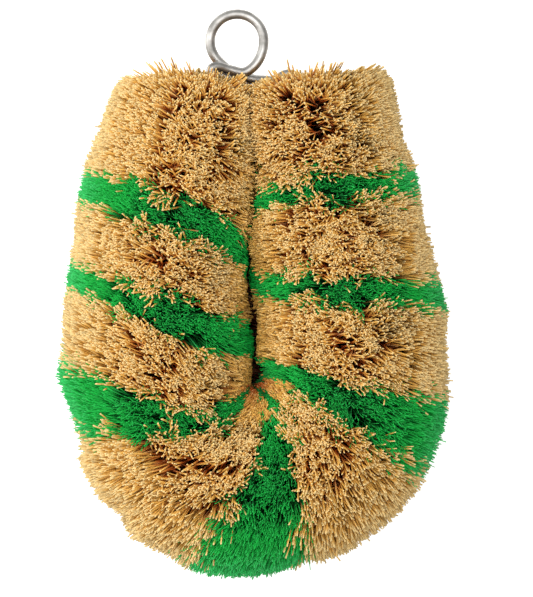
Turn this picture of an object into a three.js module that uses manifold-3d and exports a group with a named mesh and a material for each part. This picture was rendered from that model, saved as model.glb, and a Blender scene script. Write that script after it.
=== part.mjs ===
// Tawashi brush: bundles of plant fibre gripped in a twisted wire core, bent into an oval.
//
// Millimetres, +Z up. The brush lies flat: X runs across it, Y along it towards the hanging
// ring, and the origin is on the resting plane under the middle of its outline.

import * as THREE from "three";
import { mergeVertices } from "three/addons/utils/BufferGeometryUtils.js";
import Module from "manifold-3d";

// Wire
const WIRE_D = 2.2;
const WEB = 1.4; // fibre squeezed between the two strands of the core
const TWIST_PITCH = 15; // wanted length of one full turn of the two strands
const CLEARANCE = 0.3; // gap between neighbouring pieces

// Oval of the core wire, measured on its centre line
const BEND_R = 19.6; // round bottom
const LEG_RISE = 72.5; // half axis of the ellipse that both legs follow above the bend
const CORE_LENGTH = 192.2; // length of core that grips fibre

// Eyes at the two ends of the core and the tails hooked through them
const EYE_PLAY = 0.5; // room round a tail in its eye
const EYE_REACH = 2.6; // from the last bundle to the middle of the eye
const EYE_CLOSE = THREE.MathUtils.degToRad(150); // how far the open eye is bent round
const CUT_END = 0.8; // stub of the strand that ends beside the open eye
const TAIL = 2.6; // length of a tail past its eye

// Hanging ring
const RING_BORE = 9.8;
const RING_SHIFT = -3.6; // the ring sits to the left of the middle
const RING_DROP = 1.4; // how much lower than a circle the loop hangs on its right side
const CROSSING_GAP = 0.5; // between the two wires where the loop crosses itself

// Fibre
const BRUSH_R = 24; // from the core's centre line to the trimmed tips
const SIDE_TRIM = 2.3; // the outer sides are trimmed this much closer at the two ends
const TRIM_START = 45; // distance from the bottom of the bend where that begins
const TRIM_LENGTH = 40; // length of core over which it grows
const END_FAN = 4; // how far the last tips lean out over the ends of the core
const FAN_LENGTH = 9; // length of core at each end whose tips do so
const ROOT_R = 10; // the fibres are packed solid up to here
const ROOT_WALL = 0.8; // least fibre round the wires
const LENGTH_SPREAD = 0.8; // unevenness of the trimmed tips
const FLAT_DEPTH = 0.5; // the tips that the brush lies on are worn flat by this much
const SEAM_GAP = 0.5; // between the tips of the two legs
const BEND_HOLLOW = 3; // radius left free in the middle of the bend
const ROW_PITCH = 3.45; // wanted spacing of the strand rows along the core
const COLUMNS = 16; // places round the core, every second one with a strand
const TIP_WIDTH = 3.6; // width of a strand's tip round the core
const TIP_FILL = 0.78; // share of the row that the tip takes along the core
const TIP_SHARE = 0.8; // most of its own place that the tip takes round the core
const TIP_SCATTER = 0.6; // share of the room left there by which it may stand off the middle

// Bundles from the left end to the right end: parts of the core's length that each one takes, and how
// far its fibres lean clockwise from square to the core on the outer and the inner side of the oval,
// in degrees
const BUNDLES = [
  { fibre: "natural", parts: 23.6, lean: -8, innerLean: 10 },
  { fibre: "green", parts: 8.6, lean: 9, innerLean: 21 },
  { fibre: "natural", parts: 13.6, lean: 13, innerLean: 18 },
  { fibre: "green", parts: 7.8, lean: 18, innerLean: 15 },
  { fibre: "natural", parts: 14.9, lean: 26, innerLean: 12 },
  { fibre: "green", parts: 8.8, lean: 35, innerLean: 7 },
  { fibre: "natural", parts: 18.6, lean: 32, innerLean: 8 },
  { fibre: "green", parts: 9.8, lean: 29, innerLean: 10 },
  { fibre: "natural", parts: 14.4, lean: 20, innerLean: 12 },
  { fibre: "green", parts: 7.6, lean: 16, innerLean: 15 },
  { fibre: "natural", parts: 16.9, lean: 12, innerLean: 12 },
  { fibre: "green", parts: 6.0, lean: 9, innerLean: 10 },
  { fibre: "natural", parts: 17.7, lean: 7, innerLean: 8 },
  { fibre: "green", parts: 5.0, lean: 6, innerLean: 5 },
  { fibre: "natural", parts: 18.9, lean: 13, innerLean: 5 },
];

// Fineness of the wires
const CORE_SIDES = 6;
const CORE_STEP = 2.0;
const RING_SIDES = 10;
const RING_STEP = 1.1;
const CURVE_DIVISIONS = 4000;

const wasm = await Module();
wasm.setup();

// Materials
const galvanised = new THREE.MeshStandardMaterial({ color: "#b9b8b1", metalness: 0.9, roughness: 0.38 });
const fibres = {
  natural: new THREE.MeshStandardMaterial({ color: "#cfa05a", metalness: 0, roughness: 0.7 }),
  green: new THREE.MeshStandardMaterial({ color: "#229148", metalness: 0, roughness: 0.7 }),
};

// Sizes that follow from the others
const WIRE_R = WIRE_D / 2;
const TWIST_R = (WIRE_D + WEB) / 2;
const EYE_R = WIRE_D + EYE_PLAY;
const RING_R = (RING_BORE + WIRE_D) / 2;
const CORE_R = TWIST_R + WIRE_R + CLEARANCE;
const WIRE_HEIGHT = BRUSH_R - FLAT_DEPTH;
const HALF_LENGTH = CORE_LENGTH / 2;
const HALF_BEND = (Math.PI * BEND_R) / 2;
const HALF_TURNS = 2 * Math.round(CORE_LENGTH / TWIST_PITCH);

const UP = new THREE.Vector3(0, 0, 1);

// Places along the core

const legCurve = new THREE.EllipseCurve(0, 0, BEND_R, LEG_RISE, 0, Math.PI / 2);
legCurve.arcLengthDivisions = CURVE_DIVISIONS;
const LEG_LENGTH = legCurve.getLength();

// Centre, tangent and outward normal of the core at the distance s from the bottom of the bend,
// positive towards the right leg. Past the last bundle the core runs on straight.
function corePlace(s) {
  const inside = THREE.MathUtils.clamp(s, -HALF_LENGTH, HALF_LENGTH);
  const side = inside < 0 ? -1 : 1;
  const along = Math.abs(inside);
  const point = new THREE.Vector2();
  const tangent = new THREE.Vector2();
  if (along < HALF_BEND) {
    const angle = along / BEND_R;
    point.set(BEND_R * Math.sin(angle), -BEND_R * Math.cos(angle));
    tangent.set(Math.cos(angle), Math.sin(angle));
  } else {
    const u = (along - HALF_BEND) / LEG_LENGTH;
    point.copy(legCurve.getPointAt(u));
    tangent.copy(legCurve.getTangentAt(u));
  }
  const centre = new THREE.Vector3(side * point.x, point.y, 0);
  const forward = new THREE.Vector3(tangent.x, side * tangent.y, 0);
  const outward = new THREE.Vector3(forward.y, -forward.x, 0);
  centre.addScaledVector(forward, s - inside);
  return { centre, forward, outward };
}

// Length, start, end and middle of each bundle along the core
const allParts = BUNDLES.reduce((sum, bundle) => sum + bundle.parts, 0);
let bundleEnd = -HALF_LENGTH;
for (const bundle of BUNDLES) {
  bundle.length = (CORE_LENGTH * bundle.parts) / allParts;
  bundle.start = bundleEnd;
  bundle.end = bundleEnd + bundle.length;
  bundle.middle = (bundle.start + bundle.end) / 2;
  bundleEnd = bundle.end;
}

// Lean at the distance s: straight lines between the bundles' middles, carried on past both ends
function leanAt(s, turn) {
  const side = Math.cos(turn) < 0 ? "innerLean" : "lean";
  const last = BUNDLES.length - 2;
  const found = BUNDLES.findIndex((bundle) => s < bundle.middle) - 1;
  const first = THREE.MathUtils.clamp(found < -1 ? last : found, 0, last);
  const from = BUNDLES[first];
  const to = BUNDLES[first + 1];
  const share = (s - from.middle) / (to.middle - from.middle);
  return THREE.MathUtils.degToRad(THREE.MathUtils.lerp(from[side], to[side], share));
}

// Direction of the fibres that leave the core at the distance s and at the angle turn round it:
// 0 points out of the oval, a quarter turn points up
function fibreDirection(s, turn) {
  const across = corePlace(s).outward.applyAxisAngle(UP, -leanAt(s, turn));
  return across.multiplyScalar(Math.cos(turn)).addScaledVector(UP, Math.sin(turn));
}

// How much closer the fibres are trimmed on the outer sides of the legs
function sideTrim(s, turn) {
  const grown = THREE.MathUtils.clamp((Math.abs(s) - TRIM_START) / TRIM_LENGTH, 0, 1);
  return SIDE_TRIM * grown * Math.max(0, Math.cos(turn));
}

// How far the tips of the last rows lean out over the nearest end of the core, less on the inner
// side, where the ring wire passes
function endFan(s, turn) {
  const near = THREE.MathUtils.clamp(1 - (HALF_LENGTH - Math.abs(s)) / FAN_LENGTH, 0, 1);
  const side = Math.cos(turn) > 0 ? 1 : Math.sin(turn) ** 2;
  return Math.sign(s) * END_FAN * near * side;
}

// Longest fibre there: trimmed to the brush's radius, the resting plane, the seam between the
// legs and the hollow in the bend
function fibreReach(s, turn, wanted) {
  const { centre } = corePlace(s);
  const direction = fibreDirection(s, turn);
  let reach = wanted - sideTrim(s, turn);
  if (direction.z < 0) {
    reach = Math.min(reach, WIRE_HEIGHT / -direction.z);
  }
  if (Math.cos(turn) < 0) {
    const inward = -Math.cos(turn);
    const bendRoom = BEND_R - BEND_HOLLOW + Math.max(0, centre.y);
    reach = Math.min(reach, bendRoom / inward);
    if (centre.y > 0) {
      const seamRoom = Math.abs(centre.x) - SEAM_GAP / 2;
      reach = Math.min(reach, seamRoom / Math.abs(direction.x));
    }
  }
  return reach;
}

function fibrePoint(s, turn, distance) {
  return corePlace(s).centre.addScaledVector(fibreDirection(s, turn), distance);
}

// Radius of the packed roots, drawn in where the fibres are short
function rootPoint(s, turn) {
  const packed = (ROOT_R * fibreReach(s, turn, BRUSH_R)) / BRUSH_R;
  return fibrePoint(s, turn, Math.max(CORE_R + ROOT_WALL, packed));
}

// Wires

function wireSection(radius, sides) {
  const corners = Array.from({ length: sides }, (_, k) => {
    const angle = (2 * Math.PI * k) / sides;
    return new THREE.Vector2(radius * Math.cos(angle), radius * Math.sin(angle));
  });
  return new THREE.Shape(corners);
}

function wireGeometry(curve, radius, sides, step) {
  const steps = Math.round(curve.getLength() / step);
  return new THREE.ExtrudeGeometry(wireSection(radius, sides), {
    steps,
    bevelEnabled: false,
    extrudePath: curve,
  });
}

function smoothCurve(points) {
  const curve = new THREE.CatmullRomCurve3(points, false, "centripetal");
  curve.arcLengthDivisions = CURVE_DIVISIONS;
  return curve;
}

// One strand of the twisted pair at the distance s, on the side +1 or -1 of the core
function strandPoint(s, side) {
  const { centre, outward } = corePlace(s);
  const share = THREE.MathUtils.clamp((s + HALF_LENGTH) / CORE_LENGTH, 0, 1);
  const turn = Math.PI * HALF_TURNS * share;
  const offset = outward.multiplyScalar(Math.cos(turn)).addScaledVector(UP, Math.sin(turn));
  return centre.addScaledVector(offset, side * TWIST_R);
}

// Middle of the eye at the end -1 (left) or +1 (right), and the directions of its plane
function eyePlace(end) {
  const { centre, forward, outward } = corePlace(end * (HALF_LENGTH + EYE_REACH));
  return { centre, away: forward.multiplyScalar(end), outward };
}

// Arc of an eye, from its outer side over its top
function eyeArc(end, sweep) {
  const { centre, away, outward } = eyePlace(end);
  const count = 5;
  return Array.from({ length: count }, (_, k) => {
    const angle = (sweep * k) / (count - 1);
    return centre
      .clone()
      .addScaledVector(outward, EYE_R * Math.cos(angle))
      .addScaledVector(away, EYE_R * Math.sin(angle));
  });
}

// The core is one wire: a strand from the right end to the left, the closed eye there, the other
// strand back and the open eye at the right end
function coreCurve() {
  const turnSteps = 8;
  const count = (HALF_TURNS / 2) * turnSteps;
  const along = Array.from({ length: count + 1 }, (_, k) => -HALF_LENGTH + (CORE_LENGTH * k) / count);
  const there = along.map((s) => strandPoint(s, -1)).reverse();
  const back = along.map((s) => strandPoint(s, 1));
  const stub = strandPoint(HALF_LENGTH + CUT_END, -1);
  const closedEye = eyeArc(-1, Math.PI).reverse();
  const openEye = eyeArc(1, EYE_CLOSE);
  return smoothCurve([stub, ...there, ...closedEye, ...back, ...openEye]);
}

// The ring wire comes up through the left eye, runs to the right under the ring, goes once round
// it against the clock, runs down straight and leaves behind itself for the right eye
function ringCurve() {
  const left = eyePlace(-1).centre;
  const right = eyePlace(1).centre;
  const middle = ringCentre();
  const lift = (WIRE_D + CROSSING_GAP) / 2;
  const over = WIRE_D + CLEARANCE;
  const bottom = middle.y - RING_R;
  const from = (place, x, y, z) => new THREE.Vector3(place.x + x, place.y + y, z);
  const points = [
    from(left, 0, 0, -TAIL),
    from(left, 0, 0, 0),
    from(left, -0.15 * EYE_R, 0.3 * EYE_R, 0.8 * over),
    from(left, -0.45 * EYE_R, 1.3 * EYE_R, over + 0.2 * WIRE_D),
    from(left, 0, 1.55 * EYE_R, over + 0.1 * WIRE_D),
    new THREE.Vector3(middle.x - 0.28 * RING_R, bottom - 0.25 * WIRE_D, lift + 0.2 * WIRE_D),
  ];
  const firstAngle = THREE.MathUtils.degToRad(-75);
  const lastAngle = THREE.MathUtils.degToRad(215);
  const count = 14;
  for (let k = 0; k <= count; k += 1) {
    const share = k / count;
    const angle = THREE.MathUtils.lerp(firstAngle, lastAngle, share);
    const rise = angle < 0 ? RING_R + RING_DROP : RING_R;
    const x = middle.x + RING_R * Math.cos(angle);
    const y = middle.y + rise * Math.sin(angle);
    points.push(new THREE.Vector3(x, y, THREE.MathUtils.lerp(lift, -lift, share)));
  }
  const under = lift + 0.25 * WIRE_D;
  points.push(new THREE.Vector3(middle.x - 0.3 * RING_R, bottom - 0.2 * WIRE_D, -under));
  points.push(new THREE.Vector3(middle.x + 0.1 * RING_R, bottom - 0.7 * WIRE_D, -under));
  points.push(from(right, -2.8 * EYE_R, 0.6 * EYE_R, -over));
  points.push(from(right, -1.6 * EYE_R, 0.5 * EYE_R, -over));
  points.push(from(right, -0.9 * EYE_R, 0.3 * EYE_R, -over));
  points.push(from(right, -0.15 * EYE_R, 0, -0.8 * over));
  points.push(from(right, 0, 0, 0));
  points.push(from(right, 0, 0, TAIL));
  return smoothCurve(points);
}

function ringCentre() {
  const eye = eyePlace(1);
  const bottom = eye.centre.y + EYE_R + WIRE_R + CLEARANCE;
  return new THREE.Vector2(RING_SHIFT, bottom + RING_R);
}

// Solids

function solidOf(geometry) {
  const bare = geometry.clone();
  bare.deleteAttribute("normal");
  bare.deleteAttribute("uv");
  const merged = mergeVertices(bare);
  return new wasm.Manifold(
    new wasm.Mesh({
      numProp: 3,
      vertProperties: new Float32Array(merged.attributes.position.array),
      triVerts: new Uint32Array(merged.index.array),
    }),
  );
}

function geometryOf(solid) {
  const mesh = solid.getMesh();
  const geometry = new THREE.BufferGeometry();
  geometry.setAttribute("position", new THREE.BufferAttribute(mesh.vertProperties, 3));
  geometry.setIndex(new THREE.BufferAttribute(mesh.triVerts, 1));
  geometry.computeVertexNormals();
  return geometry;
}

// A number from -1 to 1, the same in every build
const scatter = () => 2 * THREE.MathUtils.seededRandom() - 1;

// Four corners of a strand's tip, inside the strand's own place so that no two strands cross
function tipCorners(s, turn, rowHeight, atFloor) {
  const cell = (2 * Math.PI) / COLUMNS;
  const wanted = BRUSH_R - (atFloor ? 0 : LENGTH_SPREAD * Math.abs(scatter()));
  const halfTurn = Math.min(TIP_WIDTH / fibreReach(s, turn, wanted), TIP_SHARE * cell) / 2;
  const halfRow = (rowHeight * TIP_FILL) / 2;
  const middleTurn = turn + (atFloor ? 0 : TIP_SCATTER * (cell / 2 - halfTurn) * scatter());
  const corner = (ds, dt) => {
    const cornerTurn = middleTurn + dt;
    const along = s + ds + endFan(s + ds, cornerTurn);
    return fibrePoint(along, cornerTurn, fibreReach(along, cornerTurn, wanted));
  };
  return [
    corner(-halfRow, -halfTurn),
    corner(halfRow, -halfTurn),
    corner(halfRow, halfTurn),
    corner(-halfRow, halfTurn),
  ];
}

// A bundle: packed roots round the core, with a strand on every second place of each row
function bundleGeometry(bundle) {
  const first = bundle.start + CLEARANCE / 2;
  const length = bundle.length - CLEARANCE;
  const rows = Math.max(1, Math.round(length / ROW_PITCH));
  const rowHeight = length / rows;
  const cell = (2 * Math.PI) / COLUMNS;
  const floorTurn = -Math.PI / 2;
  const positions = [];
  const triangles = [];
  const addPoint = (point) => positions.push(point.x, point.y, point.z) / 3 - 1;
  const addQuad = (a, b, c, d) => triangles.push(a, b, c, a, c, d);

  const rings = [];
  for (let row = 0; row <= rows; row += 1) {
    const s = first + row * rowHeight;
    const ring = [];
    for (let column = 0; column < COLUMNS; column += 1) {
      ring.push(addPoint(rootPoint(s, floorTurn + (column - 0.5) * cell)));
    }
    rings.push(ring);
  }
  const startMiddle = addPoint(corePlace(first).centre);
  const endMiddle = addPoint(corePlace(first + length).centre);

  for (let column = 0; column < COLUMNS; column += 1) {
    const next = (column + 1) % COLUMNS;
    triangles.push(startMiddle, rings[0][column], rings[0][next]);
    triangles.push(endMiddle, rings[rows][next], rings[rows][column]);
    for (let row = 0; row < rows; row += 1) {
      const root = [rings[row][column], rings[row + 1][column], rings[row + 1][next], rings[row][next]];
      if ((row + column) % 2 === 1) {
        addQuad(...root);
        continue;
      }
      const s = first + (row + 0.5) * rowHeight;
      const corners = tipCorners(s, floorTurn + column * cell, rowHeight, column === 0);
      const tip = corners.map(addPoint);
      for (let k = 0; k < 4; k += 1) {
        const after = (k + 1) % 4;
        addQuad(root[k], root[after], tip[after], tip[k]);
      }
      addQuad(...tip);
    }
  }
  const geometry = new THREE.BufferGeometry();
  geometry.setAttribute("position", new THREE.Float32BufferAttribute(positions, 3));
  geometry.setIndex(triangles);
  return geometry;
}

// Assembly

const brush = new THREE.Group();

function addPiece(name, geometry, material) {
  const mesh = new THREE.Mesh(geometry, material);
  mesh.name = name;
  brush.add(mesh);
}

const core = coreCurve();
const ring = ringCurve();
addPiece("core_wire", wireGeometry(core, WIRE_R, CORE_SIDES, CORE_STEP), galvanised);
addPiece("hanging_ring", wireGeometry(ring, WIRE_R, RING_SIDES, RING_STEP), galvanised);

// Each bundle is pierced by both strands of the core, with its fibre held between them
const wireChannel = solidOf(wireGeometry(core, WIRE_R + CLEARANCE, CORE_SIDES, CORE_STEP));
const counts = { natural: 0, green: 0 };
for (const bundle of BUNDLES) {
  counts[bundle.fibre] += 1;
  const name = `${bundle.fibre}_bundle_${counts[bundle.fibre]}`;
  const pierced = solidOf(bundleGeometry(bundle)).subtract(wireChannel);
  addPiece(name, geometryOf(pierced), fibres[bundle.fibre]);
}

// The wire lies at the height of the trimmed fibre, and the outline is centred on the origin
const outlineMiddle = new THREE.Box3().setFromObject(brush).getCenter(new THREE.Vector3());
brush.position.set(-outlineMiddle.x, -outlineMiddle.y, WIRE_HEIGHT);

const part = new THREE.Group();
part.add(brush);
part.updateMatrixWorld(true);

export default part;
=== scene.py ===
"""Tawashi brush: an oval scrubbing brush of natural and green fibre on a twisted wire core."""

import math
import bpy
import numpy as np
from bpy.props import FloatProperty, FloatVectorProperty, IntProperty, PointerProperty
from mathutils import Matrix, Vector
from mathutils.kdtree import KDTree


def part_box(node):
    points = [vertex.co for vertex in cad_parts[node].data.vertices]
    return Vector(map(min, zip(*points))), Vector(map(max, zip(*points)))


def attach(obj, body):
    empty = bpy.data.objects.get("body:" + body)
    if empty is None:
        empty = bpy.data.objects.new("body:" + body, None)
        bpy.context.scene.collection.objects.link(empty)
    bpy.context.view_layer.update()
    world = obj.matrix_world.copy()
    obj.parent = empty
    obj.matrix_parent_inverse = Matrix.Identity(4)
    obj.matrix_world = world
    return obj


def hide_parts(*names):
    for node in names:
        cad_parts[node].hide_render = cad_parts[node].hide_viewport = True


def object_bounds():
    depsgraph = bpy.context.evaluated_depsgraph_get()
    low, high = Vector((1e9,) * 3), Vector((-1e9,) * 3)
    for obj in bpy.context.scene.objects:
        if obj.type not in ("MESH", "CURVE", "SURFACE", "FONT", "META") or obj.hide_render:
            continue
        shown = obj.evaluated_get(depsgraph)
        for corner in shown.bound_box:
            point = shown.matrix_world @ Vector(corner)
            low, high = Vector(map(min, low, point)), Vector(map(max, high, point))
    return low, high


bl_info = {
    "name": "Tawashi Brush",
    "version": (1, 0, 0),
    "blender": (4, 5, 0),
    "location": "3D View > Sidebar > Tawashi",
    "description": "Builds an oval tawashi brush with its fibre, its wires and a small studio",
    "category": "Add Mesh",
}

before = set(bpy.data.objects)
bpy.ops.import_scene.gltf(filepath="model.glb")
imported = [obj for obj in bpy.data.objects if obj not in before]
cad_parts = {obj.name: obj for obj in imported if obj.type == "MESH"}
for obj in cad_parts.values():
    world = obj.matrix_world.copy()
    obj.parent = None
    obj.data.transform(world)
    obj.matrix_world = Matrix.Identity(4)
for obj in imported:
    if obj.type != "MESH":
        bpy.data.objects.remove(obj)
CAD_BOX = [list(corner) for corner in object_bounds()]

MM = 0.001
TINY = 1e-6

# Core wire: a twisted pair on a half circle, with a quarter of an ellipse as each leg
WIRE_RADIUS = 1.1 * MM
TWIST_RADIUS = 1.8 * MM
TWIST_TURNS = 13
TURN_POINTS = 12
BEND_RADIUS = 19.6 * MM
LEG_RISE = 72.5 * MM
CLEARANCE = 0.3 * MM

# Eyes at the core's ends
EYE_RADIUS = 2.7 * MM
EYE_REACH = 2.6 * MM
EYE_CLOSE = math.radians(150)
EYE_POINTS = 7
CUT_END = 0.8 * MM

# Ring and its tails. The ring's top is measured up from the middle of the bend, its opening is
# drawn out downwards by the drop, and its start and sweep are in degrees.
TAIL = 2.6 * MM
RING_RADIUS = 6.0 * MM
RING_TOP = 83.53 * MM
RING_SHIFT = -3.6 * MM
RING_DROP = 1.4 * MM
RING_START = -75
RING_SWEEP = 290
RING_POINTS = 15
CROSSING_GAP = 0.5 * MM

# Tails between the eyes and the ring: right and up in radii of the eye, then the height above the
# left eye in passes over a wire and in wires, or the depth below the right eye in passes
LEFT_TAIL = ((-0.15, 0.3, 0.8, 0.0), (-0.45, 1.3, 1.0, 0.2), (0.0, 1.55, 1.0, 0.1))
RIGHT_TAIL = ((-2.8, 0.6, 1.0), (-1.6, 0.5, 1.0), (-0.9, 0.3, 1.0), (-0.15, 0.0, 0.8))

# Crossing under the ring: right in radii of the ring and down in wires, with the rise of the wire
# that comes in and the depth of the wire that goes out, both in wires
RING_ENTRY = (-0.28, 0.25)
ENTRY_RISE = 0.2
RING_EXIT = ((-0.3, 0.2), (0.1, 0.7))
EXIT_DEPTH = 0.25

# Drawing of the wires
CORE_STEP = 0.5 * MM
RING_STEP = 0.25 * MM
WIRE_ROUNDING = 5

# Bundles from the left end to the right end: fibre, length along the core in millimetres, and lean
# from square to the core on the outer and the inner side of the oval in degrees, clockwise
BUNDLES = (
    ("natural", 23.6, -8, 10),
    ("green", 8.6, 9, 21),
    ("natural", 13.6, 13, 18),
    ("green", 7.8, 18, 15),
    ("natural", 15.2, 26, 17),
    ("green", 8.2, 35, 31),
    ("natural", 18.1, 32, 27),
    ("green", 11.3, 29, 20),
    ("natural", 13.3, 20, 14),
    ("green", 8.4, 13, 15),
    ("natural", 16.5, 9, 12),
    ("green", 6.0, 6, 10),
    ("natural", 16.3, 6, 8),
    ("green", 5.8, 6, 5),
    ("natural", 19.5, 13, 5),
)

BUNDLE_ENDS = np.cumsum([0] + [bundle[1] for bundle in BUNDLES]) * MM
CORE_LENGTH = BUNDLE_ENDS[-1]
HALF_LENGTH = CORE_LENGTH / 2
BUNDLE_ENDS -= HALF_LENGTH
BUNDLE_MIDDLES = (BUNDLE_ENDS[:-1] + BUNDLE_ENDS[1:]) / 2
LEANS = np.radians([bundle[2:] for bundle in BUNDLES])
HALF_BEND = math.pi * BEND_RADIUS / 2

# Arc length up a leg against the angle of its ellipse
LEG_SAMPLES = 2000
LEG_ANGLES = np.linspace(0, math.pi / 2, LEG_SAMPLES)
LEG_POINTS = np.stack([BEND_RADIUS * np.cos(LEG_ANGLES), LEG_RISE * np.sin(LEG_ANGLES)], axis=1)
LEG_STEPS = np.linalg.norm(np.diff(LEG_POINTS, axis=0), axis=1)
LEG_ARC = np.concatenate([[0], np.cumsum(LEG_STEPS)])

# Middle of the bend at the height of the wires, from the frame
CORE_LOW, CORE_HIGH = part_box("core_wire")
WIRE_HEIGHT = (CORE_LOW.z + CORE_HIGH.z) / 2
BEND_X = (CORE_LOW.x + CORE_HIGH.x) / 2
BEND_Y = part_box("hanging_ring")[1].y - RING_TOP
ORIGIN = np.array([BEND_X, BEND_Y, WIRE_HEIGHT])

# Centre line of a fibre at its rings from root to tip: share of the length, thickness and share of
# the bend aside. The root share of its reach stays inside the core.
FIBRE_SHARES = np.array([0.0, 0.74, 1.0])
FIBRE_TAPER = np.array([0.8, 1.0, 0.9])
FIBRE_CURL = np.array([0.0, 0.16, 1.0])
FIBRE_SIDES = 3
ROOT_SHARE = 0.09
BEND_POWER = 1.5
WIDTH_SPREAD = (0.7, 1.25)
NEAR_UPRIGHT = 0.8

# Map of a fibre: margin, width of the tints, step between the sides of one fibre, and length
MAP_EDGE = 0.01
MAP_TINTS = 0.97
MAP_STEP = 0.004
MAP_LENGTH = 0.98

# Seeds of the random draws
BUNDLE_SEED = 100
CAP_SEED = 200

# Reach of the tips from the core, with the closer trim that grows along the legs' outer sides, the
# valley along the inner side and the trim of single fibres
BRUSH_RADIUS = 24.0 * MM
SIDE_TRIM = 2.3 * MM
TRIM_START = 45.0 * MM
TRIM_LENGTH = 40.0 * MM
INNER_TRIM = 1.8 * MM
TRIM = -0.3 * MM
TRIM_SPREAD = 0.35 * MM
FLOOR_GAP = 0.3 * MM

# Green fibre is trimmed closer, more so along the ridges, and has a painted shade there that
# darkens it
GREEN_TRIM = 0.3 * MM
GREEN_SINK = 1.1 * MM
GREEN_RIDGE_PAINTED_SHADE = 0.18

# Long strays, and undyed fibres that wander over their neighbours: share of the fibres and distance
STRAY_SHARE = 0.005
STRAY_LENGTH = 1.6 * MM
WANDER_SHARE = 0.009
WANDER = 3.0 * MM

# Tufts and wider clusters: fibres in each, pull to the middle and bend aside
TUFT = 10
TUFT_SWAY = 0.8 * MM
CLUSTER = 120
CLUSTER_PULL = 0.4
CLUSTER_SWAY = 0.9 * MM
TUFT_PULLS = (0, 2)
TIP_PULLS = (0.5, 1.2)

# How much of that is left on the outer sides, on the inner sides, at the ends and, within a
# distance, in the middle of the bend. The tangle turns roots from their tips, in radians. The power
# says how sharply the sides calm down.
SIDE_SWAY = 0.3
CALM_POWER = 3
INNER_SWAY = 0.8
END_SWAY = 0.3
MIDDLE_CALM = 11.0 * MM
MIDDLE_SWAY = 0.2
TANGLE = 0.3

# Sharpness of the ridge along each face
RIDGE_POWER = 4

# Painted light and shade along the fibre: the outer sides show paler lengths as painted light, the
# ridges show more of the dark root colours as painted shade
SIDE_PAINTED_LIGHT = 0.6
RIDGE_PAINTED_SHADE = 0.8

# Ends: length that fans out, how far, its share on the outer side at the left and the right end and
# on the inner side, and the tuft at the outer corner of the left end
FAN_LENGTH = 9.0 * MM
FAN_SPREAD = (0.6, 1.1)
END_FAN = 4.3 * MM
OUTER_FAN = (-0.1, 0.65)
OUTER_POWER = 3
INNER_FAN = 1.37
CORNER_TUFT = 1.3 * MM
CORNER_SIDE = 0.6
CORNER_SPREAD = 0.25

# Fibres that close over an end: roots along the core, as many as in so many millimetres of bundle,
# least share of the face, height and roundness of the dome, and pull of the tufts
CAP_ROOTS = 3.0 * MM
CAP_LENGTH = 10
CAP_LEAST = 0.03
CAP_SPREAD = (0.7, 1.15)
DOME_POWER = 4
CAP_CLUMP = 0.5

# Deep inside the bend the fibre turns to the middle: how far in it has to point for that, and the
# share of its lean that it loses by distance along the core
DEEP_INSIDE = (0.35, 0.75)
SWIRL = np.array(
    [
        (-44 * MM, 0), (-30 * MM, 0.85), (-18 * MM, 0.7),
        (0, 0.6), (10 * MM, 0.3), (22 * MM, 0),
    ]
)

# Seam between the legs: gap of the tips where it is open, height at which it closes, how open it
# stays, and how far tips mix and cross there
SEAM_GAP = 0.45 * MM
SEAM_NARROWEST = 0.3
SEAM_RAGGED = 0.8
SEAM_LIP = 3.0 * MM
SEAM_CLOSE = 34.0 * MM
SEAM_TAPER = 8.0 * MM
SEAM_LEAST = 0.3
SEAM_MIX = 0.9 * MM
SEAM_CROSS = 5.0 * MM
CROSS_SPREAD = (-0.2, 1)

# Fibres pressed together inside the oval: how far in they point, how much they sink, how sharply
# they stop, and the share that is pressed and doesn't cross, which grows downwards
INNER_SIDES = (0.5, 1.0)
INNER_SINK = 0.95
SQUEEZE_POWER = 16
PRESSED_LEAST = 0.2
PRESSED_GROWTH = 1.5

# Fold in the middle of the bend: radius of its pit for pressed and for curled tips, and radius that
# crossing fibres reach
PIT_RADIUS = 0.8 * MM
PRESSED_PIT = (0.5, 1.3)
CURLED_PIT = (0.5, 1.2)
PIT_FLOOR = 4.5 * MM

# Painted shade: share of the colours from the root up that fibres show at the seam, in the fold
# and crossing, so that they darken towards their root colours where these lie in shade
PRESSED_SHADE = 0.94
FOLD_SHADE = 0.62
CROSSED_SHADE = 0.35

# Seam where the tips of the two legs meet: distance up from the middle of the bend and how far it
# stands to the right of it there, both in millimetres
SEAM_LINE = np.array(
    [
        (0, 0.2), (2.5, 0.0), (5.2, 0.0), (7.9, 0.7), (10.5, 0.5), (13.2, 0.9), (15.9, 0.0),
        (18.6, -0.9), (21.3, -0.9), (23.9, -1.4), (26.6, -0.7), (29.3, -1.5), (32, -1.5),
        (34, -0.5), (37, 0.4), (43, 1.1), (46, 1.3), (53, 0.2), (56, -0.9), (61, -0.4),
    ]
) * MM

# Pits on the upper face where the fibre parts: distance along the core from the bottom of the bend,
# distance outward from the core and radius, all in millimetres
LARGE_PITS = np.array(
    [
        (-88.8, -12.4, 0.7), (-79.6, -8.6, 0.9), (-78.9, -2.8, 0.9), (-56.7, -2.7, 0.8),
        (-40.5, -0.5, 0.9), (-31.1, -1.2, 0.9), (-13.2, 3.8, 0.9), (-14.9, 0.0, 0.7),
        (11.0, 0.7, 1.0), (14.9, -3.4, 0.9), (17.0, 5.2, 0.9), (22.5, 3.3, 0.9),
        (32.5, 5.6, 1.2), (36.8, -2.2, 1.2), (36.8, 1.1, 1.1), (42.9, -0.2, 1.7),
        (40.2, -5.5, 1.6), (45.0, -4.6, 1.6), (56.7, -3.0, 1.5), (63.1, -4.3, 1.9),
        (60.5, -0.8, 1.5), (61.0, -7.2, 1.6), (65.6, -8.0, 1.6), (66.8, -3.6, 1.5),
        (69.9, -1.5, 1.4), (81.4, -4.7, 1.3), (81.3, 2.9, 1.1), (88.0, 1.4, 1.2),
    ]
) * MM

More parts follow.
